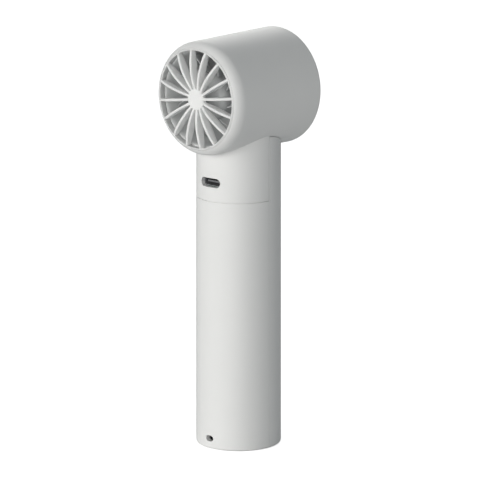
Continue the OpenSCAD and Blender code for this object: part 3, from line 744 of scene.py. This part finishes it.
# %% Power button
flange_r, flange_t = button_r + 0.8 * mm, 0.9 * mm
stem_r, stem_len, proud = 1.6 * mm, 0.9 * mm, 0.5 * mm
flange_front = button_low.y + stem_len
cap = bar("button_cap", button_r, 8 * mm, (0, flange_front + flange_t / 2, button_z), steps=96)
face_curve = bar("handle_curve", handle_r + proud, 30 * mm, (0, 0, button_z - 15 * mm), "Z", 256)
trim(cap, face_curve)
soften(cap, lambda p: p.y > flange_front + 2 * flange_t, 0.4 * mm, 4)
power_button = to_piece("button_pad", lathe(
    [(0, button_low.y), (stem_r, button_low.y), (stem_r, flange_front), (flange_r, flange_front),
     (flange_r, flange_front + flange_t), (0, flange_front + flange_t)], steps=96), (0, 0, button_z))
join(power_button, cap)
print("button:", open_edges(power_button), "open edges")

# %% Light guide
elbow_y = guide_low.y + guide_r
light_guide = to_piece("guide_rod", lathe(
    [(0, elbow_y - guide_r)] + arc((0, elbow_y), guide_r, -80, 0, 8)
    + [(guide_r, handle_r - 0.12 * mm), (guide_r - 0.12 * mm, handle_r), (0, handle_r)],
    steps=48), (0, 0, guide_z))
upright = bar("upright", guide_r * 0.999, guide_high.z - guide_z, (0, elbow_y, guide_z), "Z", 48)
join(light_guide, upright)
print("light guide:", open_edges(light_guide), "open edges")

# %% Charging socket
socket_wall = 0.3 * mm
socket_shell = stadium("socket_shell", socket_w, socket_h, socket_low.y, socket_high.y, socket_z, 16)
cut(socket_shell, stadium(
    "socket_mouth", socket_w - 2 * socket_wall, socket_h - 2 * socket_wall,
    socket_low.y - over, socket_high.y - over, socket_z, 16))
soften(socket_shell, lambda p: p.y < socket_low.y + 0.01 * mm, 0.08 * mm, 2)
tongue_low, tongue_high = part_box("usb_tongue")
tongue = to_piece("socket_tongue", block(tongue_low, tongue_high))
soften(tongue, lambda p: p.y < (tongue_low.y + tongue_high.y) / 2, 0.15 * mm, 2)
contact_n, contact_w = 12, 0.26 * mm
contact_pitch = 0.5 * mm
contacts = bmesh.new()
for side in (tongue_low.z, tongue_high.z):
    for k in range(contact_n):
        x = (k - (contact_n - 1) / 2) * contact_pitch
        strip = block(
            (x - contact_w / 2, tongue_low.y + 0.5 * mm, side - 0.03 * mm),
            (x + contact_w / 2, tongue_low.y + 4.2 * mm, side + 0.03 * mm))
        mesh = bpy.data.meshes.new("strip")
        strip.to_mesh(mesh)
        strip.free()
        contacts.from_mesh(mesh)
        bpy.data.meshes.remove(mesh)
socket_contacts = to_piece("socket_contacts", contacts)
print("socket:", open_edges(socket_shell), open_edges(tongue), "open edges,", 2 * contact_n, "contacts")

# %% [markdown]
# ## Placing the new pieces
#
# Each new piece replaces the CAD node it refines, rides on the same body and takes its finish from the
# same material slot.

# %% Bodies, slots and replaced nodes
NEW_PIECES = (
    (head_shell, "head_shell", "housing", "shell_plastic"),
    (front_cover, "front_cover", "housing", "shell_plastic"),
    (rear_shell, "rear_shell", "housing", "shell_plastic"),
    (front_grille, "front_grille", "housing", "grille_plastic"),
    (rear_grille, "rear_grille", "housing", "grille_plastic"),
    (air_duct, "air_duct", "housing", "duct_plastic"),
    (impeller, "impeller", "impeller", "impeller_plastic"),
    (power_button, "power_button", "button", "button_plastic"),
    (light_guide, "light_guide", "housing", "clear_plastic"),
    (socket_shell, "usb_socket", "housing", "socket_steel"),
    (tongue, "usb_tongue", "housing", "chip_black"),
    (socket_contacts, None, "housing", "plated_steel"),
)
for piece, node, body, slot in NEW_PIECES:
    smooth(piece)
    if node:
        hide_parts(node)
    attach(piece, body)
    low = Vector([min(v.co[i] for v in piece.data.vertices) for i in range(3)])
    high = Vector([max(v.co[i] for v in piece.data.vertices) for i in range(3)])
    if node:
        cad_low, cad_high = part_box(node)
        off = max(max(abs(a) for a in low - cad_low), max(abs(a) for a in high - cad_high))
        print(f"{piece.name}: within {off / mm:.3f} mm of {node}")

# %% [markdown]
# ## Moulded plastic
#
# The plastics share one node group. A wide, faint noise shifts the tone as pigment does, a finer one makes
# the spark-eroded grain of the mould, and the roughness follows the grain. Each plastic has its own
# colour, roughness and depth of grain.

# %% Moulded plastic group
SLOTS = {}


def new_group(name, inputs):
    """A group with its inputs, the colour, roughness and height that it gives, and Object coordinates."""
    group = bpy.data.node_groups.new(name, "ShaderNodeTree")
    for label, kind, value in inputs:
        made = group.interface.new_socket(label, in_out="INPUT", socket_type=kind)
        made.default_value = value
    for label, kind in (("Colour", "Color"), ("Roughness", "Float"), ("Height", "Float")):
        group.interface.new_socket(label, in_out="OUTPUT", socket_type="NodeSocket" + kind)
    place = group.nodes.new("ShaderNodeTexCoord").outputs["Object"]
    return group, group.nodes.new("NodeGroupInput"), group.nodes.new("NodeGroupOutput"), place


def noise(tree, source, scale, detail=2.0, rough=0.5):
    node = tree.nodes.new("ShaderNodeTexNoise")
    node.inputs["Scale"].default_value = scale
    node.inputs["Detail"].default_value = detail
    node.inputs["Roughness"].default_value = rough
    tree.links.new(source, node.inputs["Vector"])
    return node.outputs["Fac"]


def spread(tree, source, low, high):
    """Maps a 0 to 1 value onto a range."""
    node = tree.nodes.new("ShaderNodeMapRange")
    tree.links.new(source, node.inputs["Value"])
    for name, value in (("To Min", low), ("To Max", high)):
        if isinstance(value, (int, float)):
            node.inputs[name].default_value = value
        else:
            tree.links.new(value, node.inputs[name])
    return node.outputs["Result"]


def calc(tree, operation, first, second):
    node = tree.nodes.new("ShaderNodeMath")
    node.operation = operation
    for k, value in enumerate((first, second)):
        if isinstance(value, (int, float)):
            node.inputs[k].default_value = value
        else:
            tree.links.new(value, node.inputs[k])
    return node.outputs[0]


def moulded_group():
    group, inside, outside, place = new_group("moulded_plastic", (
        ("Colour", "NodeSocketColor", (0.8, 0.8, 0.8, 1)),
        ("Roughness", "NodeSocketFloat", 0.4),
        ("Grain Scale", "NodeSocketFloat", 2600.0)))
    pigment = noise(group, place, 55.0, 3.0)
    grain_node = group.nodes.new("ShaderNodeTexNoise")
    grain_node.inputs["Detail"].default_value = 3.0
    group.links.new(place, grain_node.inputs["Vector"])
    group.links.new(inside.outputs["Grain Scale"], grain_node.inputs["Scale"])
    grain = grain_node.outputs["Fac"]
    tint = group.nodes.new("ShaderNodeHueSaturation")
    group.links.new(inside.outputs["Colour"], tint.inputs["Color"])
    group.links.new(spread(group, pigment, 0.985, 1.012), tint.inputs["Value"])
    group.links.new(tint.outputs["Color"], outside.inputs["Colour"])
    shift = spread(group, grain, -0.05, 0.05)
    group.links.new(calc(group, "ADD", inside.outputs["Roughness"], shift), outside.inputs["Roughness"])
    group.links.new(grain, outside.inputs["Height"])
    return group


MOULDED = moulded_group()


def finish_node(name):
    """A new material with its Principled shader, ready for a slot of the record."""
    material = bpy.data.materials.new(name)
    material.use_nodes = True
    SLOTS[name] = material
    tree = material.node_tree
    return tree, tree.nodes["Principled BSDF"]


def bump(tree, shader, height, depth):
    node = tree.nodes.new("ShaderNodeBump")
    node.inputs["Strength"].default_value = 1.0
    node.inputs["Distance"].default_value = depth
    tree.links.new(height, node.inputs["Height"])
    tree.links.new(node.outputs["Normal"], shader.inputs["Normal"])


def group_finish(name, group, depth, values):
    """A finish whose colour, roughness and bump come from a node group."""
    tree, shader = finish_node(name)
    use = tree.nodes.new("ShaderNodeGroup")
    use.node_tree = group
    for label, value in values.items():
        use.inputs[label].default_value = value
    tree.links.new(use.outputs["Colour"], shader.inputs["Base Color"])
    tree.links.new(use.outputs["Roughness"], shader.inputs["Roughness"])
    bump(tree, shader, use.outputs["Height"], depth)
    return shader


def moulded(name, colour, roughness, grain=2600.0, transmission=0.0, subsurface=0.0):
    values = {"Colour": (*colour, 1), "Roughness": roughness, "Grain Scale": grain}
    shader = group_finish(name, MOULDED, 0.004 * mm, values)
    shader.inputs["Transmission Weight"].default_value = transmission
    shader.inputs["Subsurface Weight"].default_value = subsurface
    shader.inputs["Subsurface Radius"].default_value = (1.0, 1.0, 1.0)
    shader.inputs["Subsurface Scale"].default_value = 2.5 * mm


moulded("shell_plastic", (0.76, 0.76, 0.757), 0.42)
# The grille is the same white plastic as the shell, made lighter here as painted light so that the shaded
# sides of its ribs read brighter; the subsurface is the plastic's real translucency.
moulded("grille_plastic", (0.84, 0.84, 0.837), 0.38, subsurface=1.0)
moulded("duct_plastic", (0.76, 0.77, 0.77), 0.55)
moulded("impeller_plastic", (0.45, 0.46, 0.465), 0.45)
moulded("button_plastic", (0.74, 0.74, 0.738), 0.34)
moulded("clear_plastic", (0.92, 0.94, 0.95), 0.12, transmission=0.85)
moulded("lamp_lens", (0.93, 0.95, 0.98), 0.18, transmission=0.35)
# Dark grey rather than black, as painted light: it keeps the socket's tongue, deep in the shade of the slot,
# reading mid-grey.
moulded("chip_black", (0.15, 0.155, 0.165), 0.5, grain=4200.0)
moulded("lead_sleeve", (0.30, 0.035, 0.03), 0.38)
print("moulded plastics:", ", ".join(SLOTS))

# %% [markdown]
# ## Metals
#
# The metal group draws fine streaks along one direction of the piece, which move the roughness and the
# tone together: rolled strip for the socket shell and turned steel for the shaft.

# %% Metal group
def metal_group():
    group, inside, outside, place = new_group("worked_metal", (
        ("Colour", "NodeSocketColor", (0.6, 0.6, 0.6, 1)),
        ("Roughness", "NodeSocketFloat", 0.3),
        ("Stretch", "NodeSocketVector", (900.0, 60.0, 900.0))))
    stretched = group.nodes.new("ShaderNodeVectorMath")
    stretched.operation = "MULTIPLY"
    group.links.new(place, stretched.inputs[0])
    group.links.new(inside.outputs["Stretch"], stretched.inputs[1])
    streaks = noise(group, stretched.outputs[0], 3.0, 4.0, 0.6)
    stains = noise(group, place, 180.0, 2.0)
    tint = group.nodes.new("ShaderNodeHueSaturation")
    group.links.new(inside.outputs["Colour"], tint.inputs["Color"])
    tone = calc(group, "ADD", spread(group, streaks, 0.82, 0.98), spread(group, stains, 0.0, 0.2))
    group.links.new(tone, tint.inputs["Value"])
    group.links.new(tint.outputs["Color"], outside.inputs["Colour"])
    shift = spread(group, streaks, -0.09, 0.09)
    group.links.new(calc(group, "ADD", inside.outputs["Roughness"], shift), outside.inputs["Roughness"])
    group.links.new(streaks, outside.inputs["Height"])
    return group


METAL = metal_group()


def metal(name, colour, roughness, stretch=(900.0, 60.0, 900.0), depth=0.003 * mm, metallic=1.0):
    values = {"Colour": (*colour, 1), "Roughness": roughness, "Stretch": stretch}
    shader = group_finish(name, METAL, depth, values)
    shader.inputs["Metallic"].default_value = metallic


# The socket's steel is a dark grey, darker than bright steel, as painted shade for the slot that it sits deep
# in.
metal("socket_steel", (0.30, 0.305, 0.32), 0.5, (900.0, 80.0, 900.0), metallic=0.6)
metal("plated_steel", (0.66, 0.64, 0.60), 0.24, (700.0, 120.0, 700.0))
metal("screw_steel", (0.20, 0.20, 0.21), 0.38, (500.0, 500.0, 500.0))
metal("bearing_bronze", (0.48, 0.31, 0.15), 0.46, (1400.0, 1400.0, 1400.0), 0.006 * mm)
metal("magnet", (0.09, 0.09, 0.10), 0.52, (1100.0, 1100.0, 1100.0), 0.005 * mm, 0.6)
print("metals:", ", ".join(name for name in SLOTS if "steel" in name or name in ("bearing_bronze", "magnet")))

# %% [markdown]
# ## Inner pieces
#
# The pieces inside aren't refined, but each has a finish of its own: stacked laminations, wound copper
# wire with painted shade between its turns, a green board with traces, printed sleeve on the cell and open
# foam.

# %% Layered and printed finishes
def banded(name, dark, light, roughness, scale, direction, depth, metallic):
    """A finish with even bands of two tones across one axis: laminations, wire turns with painted shade
    between them, or lighter and darker bands up a sleeve.
    """
    tree, shader = finish_node(name)
    place = tree.nodes.new("ShaderNodeTexCoord").outputs["Object"]
    wave = tree.nodes.new("ShaderNodeTexWave")
    wave.bands_direction = direction
    wave.inputs["Scale"].default_value = scale
    wave.inputs["Distortion"].default_value = 0.6
    tree.links.new(place, wave.inputs["Vector"])
    mix = tree.nodes.new("ShaderNodeMix")
    mix.data_type = "RGBA"
    mix.inputs["A"].default_value, mix.inputs["B"].default_value = (*dark, 1), (*light, 1)
    tree.links.new(wave.outputs["Fac"], mix.inputs["Factor"])
    tree.links.new(mix.outputs["Result"], shader.inputs["Base Color"])
    rough = spread(tree, noise(tree, place, 700.0), roughness - 0.06, roughness + 0.08)
    tree.links.new(rough, shader.inputs["Roughness"])
    shader.inputs["Metallic"].default_value = metallic
    bump(tree, shader, wave.outputs["Fac"], depth)


banded("core_steel", (0.20, 0.20, 0.21), (0.42, 0.42, 0.43), 0.42, 640.0, "Y", 0.03 * mm, 1.0)
# The wire's dark bands are painted shade between the turns; the bump gives the turns their real relief.
banded("copper_wire", (0.42, 0.15, 0.06), (0.80, 0.36, 0.16), 0.28, 900.0, "Y", 0.05 * mm, 0.9)
banded("cell_sleeve", (0.05, 0.16, 0.36), (0.06, 0.19, 0.42), 0.30, 22.0, "Z", 0.01 * mm, 0.0)


def speckled(name, base, fleck, roughness, scale, depth, edge_at=0.5):
    """A finish with cells of two tones: traces on a board, or the pores of a foam."""
    tree, shader = finish_node(name)
    place = tree.nodes.new("ShaderNodeTexCoord").outputs["Object"]
    cells = tree.nodes.new("ShaderNodeTexVoronoi")
    cells.feature = "DISTANCE_TO_EDGE"
    cells.inputs["Scale"].default_value = scale
    tree.links.new(place, cells.inputs["Vector"])
    ramp = tree.nodes.new("ShaderNodeValToRGB")
    for stop, at, colour in zip(ramp.color_ramp.elements, (0.02, edge_at), (fleck, base)):
        stop.position, stop.color = at, (*colour, 1)
    tree.links.new(cells.outputs["Distance"], ramp.inputs["Fac"])
    tree.links.new(ramp.outputs["Color"], shader.inputs["Base Color"])
    rough = spread(tree, noise(tree, place, 900.0), roughness - 0.05, roughness + 0.05)
    tree.links.new(rough, shader.inputs["Roughness"])
    bump(tree, shader, cells.outputs["Distance"], depth)


speckled("circuit_board", (0.02, 0.12, 0.055), (0.035, 0.20, 0.09), 0.35, 420.0, 0.01 * mm, 0.12)
speckled("pad_foam", (0.055, 0.055, 0.06), (0.015, 0.015, 0.016), 0.85, 1500.0, 0.08 * mm, 0.3)

finished = [(nodes[part["node"]], part["material_slot"]) for part in frame["record"]["subparts"]]
finished += [(piece, slot) for piece, node, body, slot in NEW_PIECES]
for piece, slot in finished:
    piece.data.materials.clear()
    piece.data.materials.append(SLOTS[slot])
print(len(SLOTS), "finishes on", len(finished), "pieces,", len(NEW_PIECES), "of them new")

# %% [markdown]
# ## Studio
#
# The fan stands on a large pale floor in a white studio. Two wide, low lights stand in front of the
# grille, to the left of the camera, and a weaker one behind pales the far rims. The world is white where
# the camera sees it and much dimmer as fill and in what the plastic mirrors, so the barrel's side stays grey.

# %% Floor
def floor_material():
    material = bpy.data.materials.new("studio_floor")
    material.use_nodes = True
    tree = material.node_tree
    shader = tree.nodes["Principled BSDF"]
    shader.inputs["Base Color"].default_value = (0.8, 0.8, 0.8, 1)
    shader.inputs["Roughness"].default_value = 0.9
    shader.inputs["Specular IOR Level"].default_value = 0.1
    shader.inputs["Emission Color"].default_value = (1, 1, 1, 1)
    path = tree.nodes.new("ShaderNodeLightPath")
    glow = calc(tree, "MULTIPLY", path.outputs["Is Camera Ray"], 0.74)
    tree.links.new(glow, shader.inputs["Emission Strength"])
    return material


floor_half = 60
plane = bmesh.new()
bmesh.ops.create_grid(plane, x_segments=1, y_segments=1, size=floor_half)
floor = to_piece("studio_floor", plane)
floor.data.materials.append(floor_material())
floor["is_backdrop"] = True
print("floor:", 2 * floor_half, "m square")

# %% World, lights and camera
world = bpy.context.scene.world or bpy.data.worlds.new("studio")
bpy.context.scene.world = world
world.use_nodes = True
tent = world.node_tree
sky = tent.nodes.get("Background") or tent.nodes.new("ShaderNodeBackground")
sky_out = tent.nodes.get("World Output") or tent.nodes.new("ShaderNodeOutputWorld")
tent.links.new(sky.outputs["Background"], sky_out.inputs["Surface"])
path = tent.nodes.new("ShaderNodeLightPath")
sky.inputs["Color"].default_value = (0.94, 1.0, 1.02, 1)
fill_light, mirrored_light = 0.275, 0.23
filled = calc(tent, "MULTIPLY", path.outputs["Is Diffuse Ray"], fill_light)
mirrored = calc(tent, "MULTIPLY", path.outputs["Is Glossy Ray"], mirrored_light)
seen = calc(tent, "ADD", path.outputs["Is Camera Ray"], path.outputs["Is Transmission Ray"])
tent.links.new(calc(tent, "ADD", seen, calc(tent, "ADD", filled, mirrored)), sky.inputs["Strength"])


def soft_light(name, turn, height, strength):
    """A wide, distant light from an azimuth and a height, both in degrees."""
    light = bpy.data.lights.new(name, "SUN")
    light.energy, light.angle = strength, radians(40)
    light.color = (1.0, 0.985, 0.955)
    lamp = bpy.data.objects.new(name, light)
    turn, height = radians(turn), radians(height)
    towards = Vector((sin(turn) * cos(height), -cos(turn) * cos(height), sin(height)))
    lamp.rotation_euler = towards.to_track_quat("Z", "Y").to_euler()
    bpy.context.scene.collection.objects.link(lamp)


soft_light("left_key", -20, 5, 1.70)
soft_light("front_key", 20, 5, 1.85)
soft_light("rim_light", -140, 20, 0.82)

azimuth, elevation, distance = radians(43.0), radians(12.4), 1.5
outward = Vector((sin(azimuth) * cos(elevation), -cos(azimuth) * cos(elevation), sin(elevation)))
right = Vector((cos(azimuth), sin(azimuth), 0))
up = right.cross(-outward)
lens_data = bpy.data.cameras.new("camera")
lens_data.sensor_width, lens_data.lens = 36, 299
lens_data.clip_start, lens_data.clip_end = 0.05, 500
camera = bpy.data.objects.new("camera", lens_data)
camera.location = Vector((0, 0, 0.078)) + 0.00056 * right + 0.00014 * up + distance * outward
camera.rotation_euler = outward.to_track_quat("Z", "Y").to_euler()
bpy.context.scene.collection.objects.link(camera)
bpy.context.scene.camera = camera
bpy.context.scene.view_settings.view_transform = "Standard"
print(f"camera: {distance} m away, {lens_data.lens:.0f} mm lens")

# %% Size and finish
new_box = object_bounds()
for label, box in (("CAD", cad_box), ("scene", new_box)):
    print(label, [round(value / mm, 3) for corner in box for value in corner])
